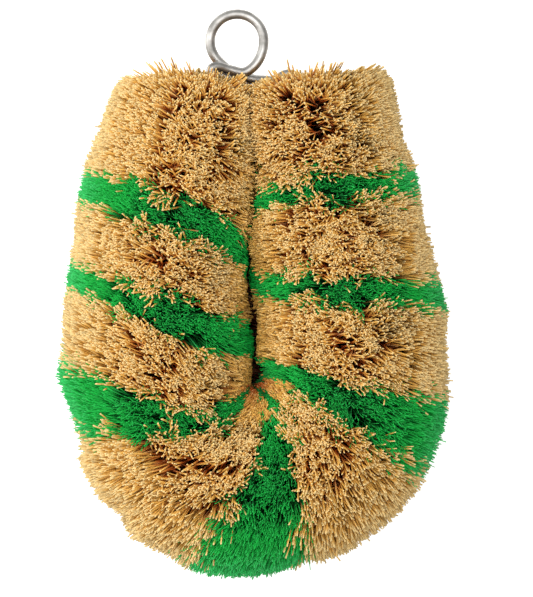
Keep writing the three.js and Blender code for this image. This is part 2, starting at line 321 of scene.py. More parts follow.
# Smaller pits between them, at random
SMALL_PITS = 60
SMALL_PIT_SEED = 7
SMALL_PIT_SPREAD = 5 * MM
SMALL_PIT_RADII = (0.5 * MM, 0.9 * MM)

# Least rise that counts where a pit pushes fibre round the core, so that flat fibre doesn't jump
LEAST_RISE = 0.3

# Outer side of the oval, from the left end to the right end: distance along the core from the
# bottom of the bend and how much closer than the full radius the tips stand there, in millimetres
OUTER_TRIM = np.array(
    [
        (-96, 0.6), (-85, 1.1), (-75, 0.6), (-65, 0.3), (-55, 1.4), (-45, 0.3), (-36, -0.3),
        (-32, -1.5), (-28, -0.9), (-25, -2.1), (-22, 0.2), (-18.5, 1.7), (-16, -0.2),
        (-12, -0.4), (-9.5, 0.8), (-7, -1.6), (-3, -0.2), (0, -1.7), (4, -1.1), (8.5, 0.2),
        (10.5, 1.3), (13, 0.2), (16, 0.3), (22, 0.0), (28, -0.3), (38, 0.4), (43, 0.9),
        (48, -0.3), (55, 1.0), (66, 2.4), (75, 1.4), (85, 2.2), (96, 0.0),
    ]
) * MM

# Fibre's looks: places of the root, neck, body and tip colours along it, where the darker root and
# neck colours are painted shade deep in the brush, and how the tint of a single fibre darkens or
# bleaches it
ROOT_AT, NECK_AT, BODY_FROM, BODY_TO, TIP_AT = 0.4, 0.68, 0.86, 0.95, 1.0
TINT_SHADES = ((0.0, 0.6), (0.25, 0.85), (0.7, 1.0))
TINT_BLEACH = ((0.7, 0.0), (1.0, 0.35))
FIBRE_ROUGHNESS = 0.6
FIBRE_IOR = 1.5
FIBRE_SPECULAR = 0.25

# Wire's looks: size of the dull patches and of the drawing marks, and depth of the marks
PATCH_SIZE = 3 * MM
PATCH_DETAIL = 4.0
PATCH_EDGES = (0.35, 0.62)
PATCH_ROUGHNESS = ((0.35, 0.55), (0.65, 0.4))
MARK_SIZE = 0.4 * MM
MARK_DETAIL = 3.0
MARK_DEPTH = 0.05 * MM
MARK_STRENGTH = 0.25

# Studio: floor and surroundings, with brightness by height, and lights placed from the middle of
# the brush
FLOOR_HALF = 1.5
FLOOR_COLOUR = "#f4f4f2"
FLOOR_ROUGHNESS = 0.9
FLOOR_LIFT = 0.45
LIFT_COLOUR = "#ffffff"
DOME_SHADES = ((0.0, 0.25), (0.6, 0.8), (1.0, 1.0))
DOME_STRENGTH = 0.85
KEY_PLACE = Vector((-0.56, 0.08, 0.25))
FILL_PLACE = Vector((-0.04, 0.06, 0.7))
LIGHT_SIZE = 0.6

# Photograph's frame, with the middle of the bend as seen in it
IMAGE_SIZE = (533, 597)
BEND_PIXEL = (253.0, 383.2)
SENSOR_HEIGHT = 36.0


def linear(code):
    """Linear RGBA of an sRGB hex colour."""
    channels = [int(code[i : i + 2], 16) / 255 for i in (1, 3, 5)]
    return [c / 12.92 if c <= 0.04045 else ((c + 0.055) / 1.055) ** 2.4 for c in channels] + [1.0]


def colour(name, description, code):
    """A colour property with an sRGB hex default."""
    return FloatVectorProperty(
        name=name,
        description=description,
        default=linear(code),
        size=4,
        min=0,
        max=1,
        subtype="COLOR",
    )


def length(name, description, default):
    """A length property."""
    return FloatProperty(name=name, description=description, default=default, unit="LENGTH")


def power(name, description, default):
    """A property for the power of a light."""
    return FloatProperty(name=name, description=description, default=default, unit="POWER")


class TawashiFibre(bpy.types.PropertyGroup):
    """Sizes and colours of the fibre."""

    natural_count: IntProperty(
        name="Natural fibres per mm",
        description="Undyed fibres gripped in a millimetre of core",
        default=510,
        min=10,
    )
    natural_width: length("Natural fibre width", "Thickness of an undyed fibre", 0.43 * MM)
    green_count: IntProperty(
        name="Green fibres per mm",
        description="Dyed fibres gripped in a millimetre of core",
        default=900,
        min=10,
    )
    green_width: length("Green fibre width", "Thickness of a dyed fibre", 0.26 * MM)
    splay: length("Splay", "How far tips wander along the core", 1.2 * MM)
    fan: length("Fan", "How far undyed bundles open over their neighbours", 0.4 * MM)
    curl: length("Curl", "How far a tip bends off the straight line", 0.9 * MM)
    clump: FloatProperty(
        name="Clump",
        description="How strongly tips gather in tufts",
        default=0.5,
        min=0,
        max=1,
        subtype="FACTOR",
    )
    # Root and neck colours are painted shade: darker fibre deep in the brush, where light hardly
    # reaches
    natural_root_shade: colour("Natural root", "Undyed fibre near the wire", "#4a1e08")
    natural_neck_shade: colour("Natural neck", "Undyed fibre half way up", "#b4561a")
    natural_body: colour("Natural body", "Undyed fibre along its length", "#d9a54c")
    natural_tip: colour("Natural tip", "Undyed fibre at the cut end", "#e9cf94")
    # The green root and neck colours are painted shade deep in the brush as well
    green_root_shade: colour("Green root", "Dyed fibre near the wire", "#011f08")
    green_neck_shade: colour("Green neck", "Dyed fibre half way up", "#025c20")
    green_body: colour("Green body", "Dyed fibre along its length", "#07ac3e")
    green_tip: colour("Green tip", "Dyed fibre at the cut end", "#3cc46a")


class TawashiWire(bpy.types.PropertyGroup):
    """Looks of the galvanised wire."""

    zinc: colour("Zinc", "Bright zinc coat", "#acaaa6")
    dull: colour("Dull zinc", "Weathered patches of the coat", "#83817d")


class TawashiStage(bpy.types.PropertyGroup):
    """Camera and light."""

    distance: length("Camera distance", "From the wires to the camera", 0.65)
    frame_height: length("Frame height", "Height of the picture at the wires", 0.1333)
    key_power: power("Key light", "Power of the light at the left", 3.3)
    fill_power: power("Fill light", "Power of the light overhead", 4.2)


# Places along the core


def core_place(s):
    """Centre, forward and outward directions at the distances s from the bottom of the bend."""
    inside = np.clip(s, -HALF_LENGTH, HALF_LENGTH)
    side = np.where(inside < 0, -1.0, 1.0)
    along = np.abs(inside)
    on_bend = along < HALF_BEND
    bend = along / BEND_RADIUS
    leg = np.interp(along - HALF_BEND, LEG_ARC, LEG_ANGLES)
    x = np.where(on_bend, BEND_RADIUS * np.sin(bend), BEND_RADIUS * np.cos(leg))
    y = np.where(on_bend, -BEND_RADIUS * np.cos(bend), LEG_RISE * np.sin(leg))
    ahead_x = np.where(on_bend, np.cos(bend), -BEND_RADIUS * np.sin(leg))
    ahead_y = np.where(on_bend, np.sin(bend), LEG_RISE * np.cos(leg))
    size = np.hypot(ahead_x, ahead_y)
    forward = np.stack([ahead_x / size, side * ahead_y / size], axis=-1)
    centre = np.stack([side * x, y], axis=-1) + (s - inside)[..., None] * forward
    outward = np.stack([forward[..., 1], -forward[..., 0]], axis=-1)
    return centre, forward, outward


def lean_at(s, turn):
    """Lean of the fibre at the distances s, on the outer or the inner side of the oval."""
    inside = np.clip(s, -HALF_LENGTH, HALF_LENGTH)
    first = np.clip(np.searchsorted(BUNDLE_MIDDLES, inside) - 1, 0, len(BUNDLES) - 2)
    start = BUNDLE_MIDDLES[first]
    share = (inside - start) / (BUNDLE_MIDDLES[first + 1] - start)
    side = (np.cos(turn) < 0).astype(int)
    return LEANS[first, side] + share * (LEANS[first + 1, side] - LEANS[first, side])


def inner_share(turn, sides):
    """How far fibre points into the oval: 0 up to the first side given, 1 from the second."""
    return np.interp(-np.cos(turn), sides, (0, 1))


def ridge_share(turn):
    """How close fibre stands to the ridge of a face: 1 straight up or down, 0 on the sides."""
    return np.sin(turn) ** RIDGE_POWER


def across(s, turn):
    """Direction of the fibre in the wires' plane: leaning, but to the middle deep in the bend."""
    outward = core_place(s)[2]
    on_bend = np.interp(s, SWIRL[:, 0], SWIRL[:, 1])
    lean = -lean_at(s, turn) * (1 - on_bend * inner_share(turn, DEEP_INSIDE))
    x = np.cos(lean) * outward[..., 0] - np.sin(lean) * outward[..., 1]
    y = np.sin(lean) * outward[..., 0] + np.cos(lean) * outward[..., 1]
    return np.stack([x, y], axis=-1)


def reach_vectors(s, turn, reach):
    """Straight fibres from the core's centre line, leaving at the angles turn round it."""
    flat = (reach * np.cos(turn))[..., None] * across(s, turn)
    return np.concatenate([flat, (reach * np.sin(turn))[..., None]], axis=-1)


# Fibre


def all_pits():
    """The pits seen on the upper face and the smaller ones between them."""
    rng = np.random.default_rng(SMALL_PIT_SEED)
    small = np.column_stack(
        [
            rng.uniform(-HALF_LENGTH, HALF_LENGTH, SMALL_PITS),
            rng.normal(0, SMALL_PIT_SPREAD, SMALL_PITS),
            rng.uniform(*SMALL_PIT_RADII, SMALL_PITS),
        ]
    )
    return np.vstack([LARGE_PITS, small])


PITS = all_pits()


def end_fan(end, turn):
    """How far the last tips lean out over the end -1 or 1 of the core: least on the outer side."""
    side = np.cos(turn)
    outer = np.where(end < 0, OUTER_FAN[0], OUTER_FAN[1])
    bump = np.exp(-(((side - CORNER_SIDE) / CORNER_SPREAD) ** 2))
    corner = np.where(end < 0, CORNER_TUFT * bump, 0)
    change = np.where(side > 0, (outer - 1) * side**OUTER_POWER, (1 - INNER_FAN) * side)
    return end * (END_FAN * (1 + change) + corner)


def side_trim(s, turn):
    """How much closer the fibres are trimmed on the outer sides of the legs and along the seam."""
    grown = np.clip((np.abs(s) - TRIM_START) / TRIM_LENGTH, 0, 1)
    uneven = np.interp(s, OUTER_TRIM[:, 0], OUTER_TRIM[:, 1])
    valley = INNER_TRIM * inner_share(turn, INNER_SIDES)
    return (SIDE_TRIM * grown + uneven) * np.maximum(0, np.cos(turn)) + valley


def squeeze(wanted, room):
    """A length that comes close to the room but doesn't pass it."""
    return wanted / (1 + (wanted / room) ** SQUEEZE_POWER) ** (1 / SQUEEZE_POWER)


def seam_at(y):
    """Place of the seam between the legs at the heights y, and how open it is there up to 1."""
    opened = np.clip((SEAM_CLOSE - y) / SEAM_TAPER, SEAM_LEAST, 1)
    return np.interp(y, SEAM_LINE[:, 0], SEAM_LINE[:, 1]), opened


def seam_halves(rng, opened):
    """Distance of each tip from the seam: a ragged gap where it is open, mixed tips elsewhere."""
    ragged = SEAM_GAP * (SEAM_NARROWEST + SEAM_RAGGED * rng.exponential(1, len(opened)))
    mixed = SEAM_MIX * rng.normal(0, 1, len(opened))
    return opened * ragged + (1 - opened) * mixed


def pressed_tips(rng, centre, turn, reach, tips):
    """Tips that meet the other leg or the middle of the bend and turn up or down there at their
    full length, lower the further they point into the oval."""
    in_leg = centre[:, 1] > 0
    seam, opened = seam_at(centre[:, 1])
    deep = inner_share(turn, INNER_SIDES)
    wanted = np.where(in_leg, np.abs(tips[:, 0]), np.linalg.norm(tips[:, :2], axis=1))
    from_seam = seam_halves(rng, opened)
    from_middle = PIT_RADIUS * rng.uniform(*PRESSED_PIT, len(tips))
    gap = np.where(in_leg, from_seam, from_middle) + SEAM_LIP * opened * (1 - deep)
    room = np.where(in_leg, np.abs(centre[:, 0] - seam), BEND_RADIUS) - gap
    share = squeeze(wanted, room) / np.maximum(wanted, TINY)
    pressed = tips.copy()
    pressed[:, 0] *= share
    pressed[:, 1] *= np.where(in_leg, 1.0, share)
    middle = centre * (gap / BEND_RADIUS - 1)[:, None]
    pressed[:, :2] += np.where(in_leg, 0, deep**2)[:, None] * (middle - pressed[:, :2])
    flat = np.linalg.norm(pressed[:, :2], axis=1)
    sink = np.sqrt(1 - (INNER_SINK * deep) ** 2)
    pressed[:, 2] = np.sign(tips[:, 2]) * sink * np.sqrt(np.maximum(reach**2 - flat**2, 0))
    return pressed


def crossing_tips(rng, centre, tips):
    """Tips that cross over the seam, or lie anywhere about the middle of the bend."""
    count = len(tips)
    in_leg = centre[:, 1] > 0
    spot = PIT_FLOOR * np.sqrt(rng.random(count)) * np.exp(2j * math.pi * rng.random(count))
    beyond = np.sign(centre[:, 0]) * SEAM_CROSS * rng.uniform(*CROSS_SPREAD, count)
    over = seam_at(centre[:, 1])[0] - beyond
    crossing = tips.copy()
    crossing[:, 0] = np.where(in_leg, over, spot.real) - centre[:, 0]
    crossing[:, 1] = np.where(in_leg, tips[:, 1], spot.imag - centre[:, 1])
    return crossing


def press_tips(rng, s, turn, reach):
    """Tips of the fibres, a painted shade that shows more of their dark root colours where they
    point into the oval and most where they cross, and which are held back from the seam. Most of
    those that point into the oval are pressed together there, and some of those below the wires
    cross over and are painted dark as shade."""
    tips = reach_vectors(s, turn, reach)
    centre = core_place(s)[0]
    inner = np.cos(turn) < 0
    chance = PRESSED_LEAST - PRESSED_GROWTH * np.sin(turn)
    stays = (np.sin(turn) > 0) | (rng.random(len(s)) < chance)
    held = inner & stays
    crosses = inner & ~stays
    pressed = pressed_tips(rng, centre, turn, reach, tips)
    crossing = crossing_tips(rng, centre, tips)
    # Painted shade: fibres at the seam and in the fold show darker colours, crossing fibres darkest
    deepest = np.where(centre[:, 1] > 0, PRESSED_SHADE, FOLD_SHADE)
    shade = 1 - (1 - deepest) * inner_share(turn, INNER_SIDES)
    shade = np.where(crosses, CROSSED_SHADE, shade)
    tips = np.where(crosses[:, None], crossing, np.where(held[:, None], pressed, tips))
    return tips, shade, held


def gather(rng, s, turn, per_tuft, pull, sway):
    """Draws the tips together in tufts of about per_tuft fibres that each bend their own way."""
    tips = np.stack([s, BRUSH_RADIUS * np.cos(turn), BRUSH_RADIUS * np.sin(turn)], axis=1)
    middles = tips[rng.permutation(len(tips))[: max(1, len(tips) // per_tuft)]]
    tree = KDTree(len(middles))
    for k, middle in enumerate(middles):
        tree.insert(middle, k)
    tree.balance()
    owner = [tree.find(tip)[1] for tip in tips]
    nearest = middles[owner]
    tuft_pull = pull * rng.uniform(*TUFT_PULLS, len(middles))[owner]
    share = tuft_pull * rng.uniform(*TIP_PULLS, len(tips))
    gap = np.angle(np.exp(1j * (np.arctan2(nearest[:, 2], nearest[:, 1]) - turn)))
    bend = rng.normal(0, sway, (len(middles), 3))[owner]
    return s + share * (nearest[:, 0] - s), turn + share * gap, bend


def part_at_pits(s, turn):
    """Pushes the tips out of the nearest pit. The under face has the same pits turned about."""
    face = np.where(np.sin(turn) < 0, -1.0, 1.0)
    outward = BRUSH_RADIUS * np.cos(turn)
    ahead = (face * (s - outward * np.sin(lean_at(s, turn))))[:, None] - PITS[:, 0]
    beside = outward[:, None] - PITS[:, 1]
    distance = np.hypot(ahead, beside)
    nearest = np.arange(len(s)), np.argmin(distance / PITS[:, 2], axis=1)
    away = np.maximum(distance[nearest], TINY)
    push = np.cbrt(away**3 + PITS[nearest[1], 2] ** 3) / away - 1
    steep = face * np.maximum(np.abs(np.sin(turn)), LEAST_RISE)
    return (
        s + face * push * ahead[nearest],
        turn - push * beside[nearest] / (BRUSH_RADIUS * steep),
    )


def bundle_fibres(rng, kind, start, end, fibre):
    """Centre lines of a bundle's fibres as (fibres, rings, 3), and the place of their points in the
    colours, with painted shade and painted light in it.
    """
    per_mm = fibre.natural_count if kind == "natural" else fibre.green_count
    count = int(per_mm * (end - start) / MM)
    s_root = rng.uniform(start, end, count)
    turn = rng.uniform(0, 2 * math.pi, count)
    beside = (s_root - (start + end) / 2) / ((end - start) / 2)
    ridge = ridge_share(turn)
    if kind == "natural":
        opening = fibre.fan * ridge * rng.exponential(1, count)
        trim = TRIM
    else:
        opening = 0.0
        trim = TRIM + GREEN_TRIM + GREEN_SINK * ridge
    splay = fibre.splay * rng.normal(0, 1, count)
    s_tip = s_root + opening * beside * np.abs(beside) + splay
    near = np.clip(1 - (HALF_LENGTH - np.abs(s_root)) / FAN_LENGTH, 0, 1)
    s_tip += near * end_fan(np.sign(s_root), turn) * rng.uniform(*FAN_SPREAD, count)
    side_sway = np.where(np.cos(turn) < 0, INNER_SWAY, SIDE_SWAY)
    calm = side_sway + (1 - side_sway) * np.abs(np.sin(turn)) ** CALM_POWER
    calm = calm * (1 - (1 - END_SWAY) * near)
    pull = CLUSTER_PULL * fibre.clump * calm
    s_tip, turn, wide_bend = gather(rng, s_tip, turn, CLUSTER, pull, CLUSTER_SWAY)
    s_tip, turn, bend = gather(rng, s_tip, turn, TUFT, fibre.clump * calm, TUFT_SWAY)
    s_tip, turn = part_at_pits(s_tip, turn)
    if kind == "natural":
        wanders = rng.random(count) < WANDER_SHARE
        s_tip += np.where(wanders, WANDER * ridge * rng.normal(0, 1, count), 0)
    bend += wide_bend + rng.normal(0, fibre.curl, (count, 3))
    uneven = TRIM_SPREAD * rng.normal(0, 1, count)
    reach = BRUSH_RADIUS - trim - side_trim(s_tip, turn) + uneven
    reach += np.where(rng.random(count) < STRAY_SHARE, STRAY_LENGTH * rng.random(count), 0)
    turn_root = turn + TANGLE * calm * rng.normal(0, 1, count)
    aside = bend * calm[:, None]
    points, along = fibre_lines(rng, s_root, s_tip, turn_root, turn, reach, aside)
    # Painted shade: green fibre on the ridges shows more of its dark root colours
    if kind == "green":
        along = along * (1 - GREEN_RIDGE_PAINTED_SHADE * ridge)[:, None]
    return points, along


def cap_fibres(rng, end, fibre):
    """Centre lines and colour shares of the fibres that close over the end -1 or 1 of the core."""
    count = fibre.natural_count * CAP_LENGTH
    turn = rng.uniform(0, 2 * math.pi, count)
    share = np.sqrt(rng.uniform(CAP_LEAST, 1, count))
    s_root = end * (HALF_LENGTH - rng.uniform(0, CAP_ROOTS, count))
    dome = np.sqrt(1 - share**DOME_POWER) * rng.uniform(*CAP_SPREAD, count)
    s_tip = end * HALF_LENGTH + dome * end_fan(end, turn)
    s_tip, turn, bend = gather(rng, s_tip, turn, TUFT, CAP_CLUMP * fibre.clump, TUFT_SWAY)
    reach = share * (BRUSH_RADIUS - side_trim(s_tip, turn))
    bend = END_SWAY * (bend + rng.normal(0, fibre.curl, (count, 3)))
    return fibre_lines(rng, s_root, s_tip, turn, turn, reach, bend)


def keep_open(rng, points, root):
    """Holds curled tips back from the seam between the legs and from the middle of the bend."""
    seam, opened = seam_at(points[..., 1])
    half = seam_halves(rng, opened[:, -1])[:, None]
    side = np.sign(root[:, 0])[:, None]
    leg_x = seam + side * np.maximum(side * (points[..., 0] - seam), half)
    middle = np.linalg.norm(points[..., :2], axis=2)
    pit = PIT_RADIUS * rng.uniform(*CURLED_PIT, len(points))[:, None]
    spread = np.maximum(middle, pit) / np.maximum(middle, TINY)
    in_leg = root[:, 1:2] > 0
    x = np.where(in_leg, leg_x, points[..., 0] * spread)
    y = np.where(in_leg, points[..., 1], points[..., 1] * spread)
    return np.stack([x, y, points[..., 2]], axis=-1)


def fibre_lines(rng, s_root, s_tip, turn_root, turn, reach, aside):
    """Centre lines from the grip of the core to the tips: straight at first, then bent to the tip
    and aside, but less aside where they meet in the middle of the bend. Also the place of each
    point in the colours from root to tip, with painted shade at the seam, in the fold, where fibres
    cross and on the ridges, and painted light on the outer sides."""
    root = np.column_stack([core_place(s_root)[0], np.zeros(len(s_root))])
    straight = reach_vectors(s_root, turn_root, reach)
    pressed, shade, held = press_tips(rng, s_tip, turn, reach)
    tip = np.column_stack([core_place(s_tip)[0], np.zeros(len(s_tip))]) + pressed
    whole = tip - root
    share = (ROOT_SHARE + (1 - ROOT_SHARE) * FIBRE_SHARES)[None, :, None]
    bend = share**BEND_POWER
    points = root[:, None] + share * ((1 - bend) * straight[:, None] + bend * whole[:, None])
    ahead = whole / np.linalg.norm(whole, axis=1, keepdims=True)
    aside = aside - np.sum(aside * ahead, axis=1, keepdims=True) * ahead
    from_middle = np.linalg.norm(tip[:, :2], axis=1)
    aside *= np.clip(from_middle / MIDDLE_CALM, MIDDLE_SWAY, 1)[:, None]
    points += aside[:, None] * FIBRE_CURL[None, :, None]
    points[held] = keep_open(rng, points[held], root[held])
    points += ORIGIN
    points[..., 2] = np.maximum(points[..., 2], FLOOR_GAP)
    # Painted light on the outer sides and painted shade on the ridges, shifting each fibre's
    # colours
    outer = np.clip(np.cos(turn), 0, 1)
    steep = 1 - SIDE_PAINTED_LIGHT * outer**2 + RIDGE_PAINTED_SHADE * ridge_share(turn)
    along = np.clip(1 - steep[:, None] * (1 - FIBRE_SHARES), 0, 1)
    return points, shade[:, None] * along


def fibre_mesh(name, points, along, width, rng):
    """Mesh of three-sided fibres on their centre lines, mapped by tint and place in the colours."""
    count, rings, _ = points.shape
    shape = (count, rings, FIBRE_SIDES)
    ahead = np.gradient(points, axis=1)
    ahead /= np.linalg.norm(ahead, axis=2, keepdims=True)
    tilted = np.abs(ahead[..., 2:3]) < NEAR_UPRIGHT
    spare = np.where(tilted, [[[0.0, 0.0, 1.0]]], [[[1.0, 0.0, 0.0]]])
    first = np.cross(ahead, spare)
    first /= np.linalg.norm(first, axis=2, keepdims=True)
    second = np.cross(ahead, first)
    tint = rng.random(count)
    radius = 0.5 * width * rng.uniform(*WIDTH_SPREAD, count)[:, None, None]
    radius = radius * FIBRE_TAPER[None, :, None]
    spin = rng.uniform(0, 2 * math.pi, count)[:, None, None]
    corners = []
    for k in range(FIBRE_SIDES):
        angle = spin + k * 2 * math.pi / FIBRE_SIDES
        corners.append(points + radius * (np.cos(angle) * first + np.sin(angle) * second))
    vertices = np.stack(corners, axis=2).reshape(-1, 3)

    index = np.arange(len(vertices)).reshape(shape)
    sides = []
    for k in range(FIBRE_SIDES):
        after = (k + 1) % FIBRE_SIDES
        quad = [index[:, :-1, k], index[:, :-1, after], index[:, 1:, after], index[:, 1:, k]]
        sides.append(np.stack(quad, axis=-1))
    quads = np.stack(sides, axis=2).reshape(-1, 4)
    caps = index[:, -1, :]

    tint_map = MAP_EDGE + MAP_TINTS * tint[:, None, None] + MAP_STEP * np.arange(FIBRE_SIDES)
    along_map = MAP_EDGE + MAP_LENGTH * along[:, :, None]
    vertex_map = np.stack([np.broadcast_to(part, shape) for part in (tint_map, along_map)], axis=-1)

    mesh = bpy.data.meshes.new(name)
    mesh.vertices.add(len(vertices))
    mesh.vertices.foreach_set("co", vertices.astype(np.float32).ravel())
    loops = np.concatenate([quads.ravel(), caps.ravel()])
    mesh.loops.add(len(loops))
    mesh.loops.foreach_set("vertex_index", loops.astype(np.int32))
    quad_starts = np.arange(len(quads)) * quads.shape[1]
    cap_starts = quads.size + np.arange(count) * FIBRE_SIDES
    starts = np.concatenate([quad_starts, cap_starts])
    mesh.polygons.add(len(starts))
    mesh.polygons.foreach_set("loop_start", starts.astype(np.int32))
    mesh.polygons.foreach_set("use_smooth", np.ones(len(starts), dtype=bool))
    layer = mesh.uv_layers.new(name="OFBake")
    layer.data.foreach_set("uv", vertex_map.reshape(-1, 2)[loops].astype(np.float32).ravel())
    mesh.update(calc_edges=True)
    mesh.validate()
    return mesh


# Wires


def smooth_route(points, step):
    """A smooth route through the points, in even steps."""
    points = np.asarray(points)
    padded = np.vstack([2 * points[0] - points[1], points, 2 * points[-1] - points[-2]])
    route = []
    for a, b, c, d in zip(padded, padded[1:], padded[2:], padded[3:]):
        pairs = ((a, b), (b, c), (c, d))
        knots = np.cumsum([0.0] + [math.sqrt(np.linalg.norm(q - p)) for p, q in pairs])
        count = max(2, round(np.linalg.norm(c - b) / step))
        for t in np.linspace(knots[1], knots[2], count, endpoint=False):
            p = [
                ((knots[i + 1] - t) * u + (t - knots[i]) * v) / (knots[i + 1] - knots[i])
                for i, (u, v) in enumerate(pairs)
            ]
            q = [
                ((knots[i + 2] - t) * p[i] + (t - knots[i]) * p[i + 1]) / (knots[i + 2] - knots[i])
                for i in range(2)
            ]
            route.append(((knots[2] - t) * q[0] + (t - knots[1]) * q[1]) / (knots[2] - knots[1]))
    route.append(points[-1])
    return np.array(route)


def flat_place(s):
    """Centre, forward and outward direction at one distance, as 3-D vectors."""
    return [np.append(part[0], 0.0) for part in core_place(np.array([s]))]


def eye_place(end):
    """Middle of the eye at the end -1 or 1, and the directions of its plane."""
    centre, forward, outward = flat_place(end * (HALF_LENGTH + EYE_REACH))
    return centre, end * forward, outward


def eye_arc(end, sweep):
    """Points round an eye from its outer side."""
    centre, away, outward = eye_place(end)
    angles = np.linspace(0, sweep, EYE_POINTS)
    return [centre + EYE_RADIUS * (math.cos(a) * outward + math.sin(a) * away) for a in angles]


def strand_point(s, side):
    """A strand of the twisted pair at the distance s."""
    centre, _, outward = flat_place(s)
    share = min(max((s + HALF_LENGTH) / CORE_LENGTH, 0), 1)
    turn = 2 * math.pi * TWIST_TURNS * share
    up = np.array([0, 0, 1])
    return centre + side * TWIST_RADIUS * (math.cos(turn) * outward + math.sin(turn) * up)


def core_route():
    """Route of the core: one strand down, the closed eye, the other strand back, the open eye."""
    along = np.linspace(-HALF_LENGTH, HALF_LENGTH, TWIST_TURNS * TURN_POINTS + 1)
    there = [strand_point(s, -1) for s in along[::-1]]
    back = [strand_point(s, 1) for s in along]
    stub = strand_point(HALF_LENGTH + CUT_END, -1)
    return [stub] + there + eye_arc(-1, math.pi)[::-1] + back + eye_arc(1, EYE_CLOSE)


def ring_route():
    """Route of the ring wire: left eye, once round the ring against the clock, right eye."""
    left = eye_place(-1)[0]
    right = eye_place(1)[0]
    bottom = right[1] + EYE_RADIUS + WIRE_RADIUS + CLEARANCE
    middle = np.array([RING_SHIFT, bottom + RING_RADIUS])
    lift = WIRE_RADIUS + CROSSING_GAP / 2
    wire = 2 * WIRE_RADIUS
    over = wire + CLEARANCE

    def crossing_point(right_share, wires_down, height):
        """A point of the wire where it crosses under the ring."""
        return np.array([middle[0] + right_share * RING_RADIUS, bottom - wires_down * wire, height])

    points = [left + [0, 0, -TAIL], left]
    for x, y, passes, wires in LEFT_TAIL:
        points.append(left + [x * EYE_RADIUS, y * EYE_RADIUS, passes * over + wires * wire])
    points.append(crossing_point(*RING_ENTRY, lift + ENTRY_RISE * wire))
    for share in np.linspace(0, 1, RING_POINTS):
        angle = math.radians(RING_START + RING_SWEEP * share)
        rise = RING_RADIUS + (RING_DROP if angle < 0 else 0)
        x = middle[0] + RING_RADIUS * math.cos(angle)
        y = middle[1] + rise * math.sin(angle)
        points.append(np.array([x, y, lift - 2 * lift * share]))
    for place in RING_EXIT:
        points.append(crossing_point(*place, -(lift + EXIT_DEPTH * wire)))
    for x, y, passes in RIGHT_TAIL:
        points.append(right + [x * EYE_RADIUS, y * EYE_RADIUS, -passes * over])
    return points + [right, right + [0, 0, TAIL]]


def wire_object(name, route):
    """A round wire along the route, as a mesh object with flat cut ends."""
    curve = bpy.data.curves.new(name, "CURVE")
    curve.dimensions = "3D"
    curve.bevel_depth = WIRE_RADIUS
    curve.bevel_resolution = WIRE_ROUNDING
    curve.use_fill_caps = True
    spline = curve.splines.new("POLY")
    spline.points.add(len(route) - 1)
    spline.points.foreach_set("co", np.column_stack([route + ORIGIN, np.ones(len(route))]).ravel())
    drawn = bpy.data.objects.new(name, curve)
    mesh = bpy.data.meshes.new_from_object(drawn)
    mesh.name = name
    bpy.data.objects.remove(drawn)
    bpy.data.curves.remove(curve)
    mesh.polygons.foreach_set("use_smooth", np.ones(len(mesh.polygons), dtype=bool))
    return bpy.data.objects.new(name, mesh)


# Materials


def new_material(name):
    """An empty node material with its tree and its output."""
    material = bpy.data.materials.new(name)
    material.use_nodes = True
    tree = material.node_tree
    tree.nodes.clear()
    return material, tree, tree.nodes.new("ShaderNodeOutputMaterial")


def add_node(tree, kind, settings=None, inputs=None):
    """A node with its settings, its constants and its links."""
    node = tree.nodes.new(kind)
    for key, value in (settings or {}).items():
        setattr(node, key, value)
    for key, value in (inputs or {}).items():
        if isinstance(value, bpy.types.NodeSocket):
            tree.links.new(value, node.inputs[key])
        else:
            node.inputs[key].default_value = value
    return node


def add_ramp(tree, factor, stops):
    """A colour ramp with (position, RGBA) stops."""
    node = add_node(tree, "ShaderNodeValToRGB", inputs={"Fac": factor})
    elements = node.color_ramp.elements
    while len(elements) < len(stops):
        elements.new(1.0)
    for element, (position, value) in zip(elements, stops):
        element.position = position
        element.color = value
    return node.outputs["Color"]


def add_grey_ramp(tree, factor, stops):
    """A ramp of greys with (position, brightness) stops."""
    return add_ramp(tree, factor, [(place, (grey, grey, grey, 1.0)) for place, grey in stops])


def mix_result(node):
    """Colour output of a mix node."""
    return next(o for o in node.outputs if o.type == "RGBA")


def fibre_material(name, root, neck, body, tip):
    """Coarse plant fibre, with painted shade that darkens it towards the root, pale at the cut tip,
    no two fibres quite alike.
    """
    material, tree, output = new_material(name)
    place = add_node(tree, "ShaderNodeUVMap", {"uv_map": "OFBake"})
    split = add_node(tree, "ShaderNodeSeparateXYZ", inputs={"Vector": place.outputs["UV"]})
    tint = split.outputs["X"]
    stops = [(ROOT_AT, root), (NECK_AT, neck), (BODY_FROM, body), (BODY_TO, body), (TIP_AT, tip)]
    length_colour = add_ramp(tree, split.outputs["Y"], stops)
    shade = add_grey_ramp(tree, tint, TINT_SHADES)
    shaded = add_node(
        tree,
        "ShaderNodeMix",
        {"data_type": "RGBA", "blend_type": "MULTIPLY"},
        {"Factor": 1.0, "A": length_colour, "B": shade},
    )
    bleach = add_grey_ramp(tree, tint, TINT_BLEACH)
    bleached = add_node(
        tree,
        "ShaderNodeMix",
        {"data_type": "RGBA"},
        {"Factor": bleach, "A": mix_result(shaded), "B": tip},
    )
    shader = add_node(
        tree,
        "ShaderNodeBsdfPrincipled",
        inputs={
            "Base Color": mix_result(bleached),
            "Roughness": FIBRE_ROUGHNESS,
            "IOR": FIBRE_IOR,
            "Specular IOR Level": FIBRE_SPECULAR,
        },
    )
    tree.links.new(shader.outputs["BSDF"], output.inputs["Surface"])
    return material


